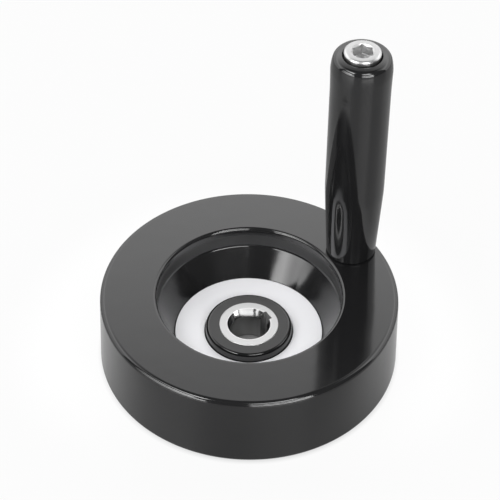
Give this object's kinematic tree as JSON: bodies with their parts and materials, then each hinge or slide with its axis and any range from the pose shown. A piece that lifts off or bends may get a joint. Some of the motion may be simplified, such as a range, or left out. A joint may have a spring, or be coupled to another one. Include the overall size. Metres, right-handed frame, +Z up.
{
  "type": "machine handwheel",
  "caption": "Solid round machine handwheel in glossy black plastic, with a keyed steel hub, a satin trim ring round the hub, and a long revolving handle upright on the rim.",
  "frame": {"origin": "where the shaft axis meets the plane of the rim's foot, which is also the plane of the hub's back face", "axes": "+Z up along the shaft axis, away from the machine and towards the operator; +X from the shaft axis towards the handle; the keyway is on the +X side"},
  "size_m": [0.0804, 0.08, 0.0897],
  "materials": {
    "moulding": "gloss",
    "grip": "gloss",
    "trim": "satin",
    "bush": "machined",
    "spindle": "bright plated",
    "insert": "machined"
  },
  "bodies": {
    "wheel": {"wheel_body": "moulding", "trim_ring": "trim", "hub_bush": "bush", "rim_insert": "insert", "handle_spindle": "spindle"},
    "grip": {"handle_grip": "grip"}
  },
  "joints": [
    {"name": "grip_spin", "type": "hinge", "parent": "wheel", "child": "grip", "pos_m": [0.03249, 0, 0.0555], "axis": [0, 0, 1], "continuous": true}
  ]
}
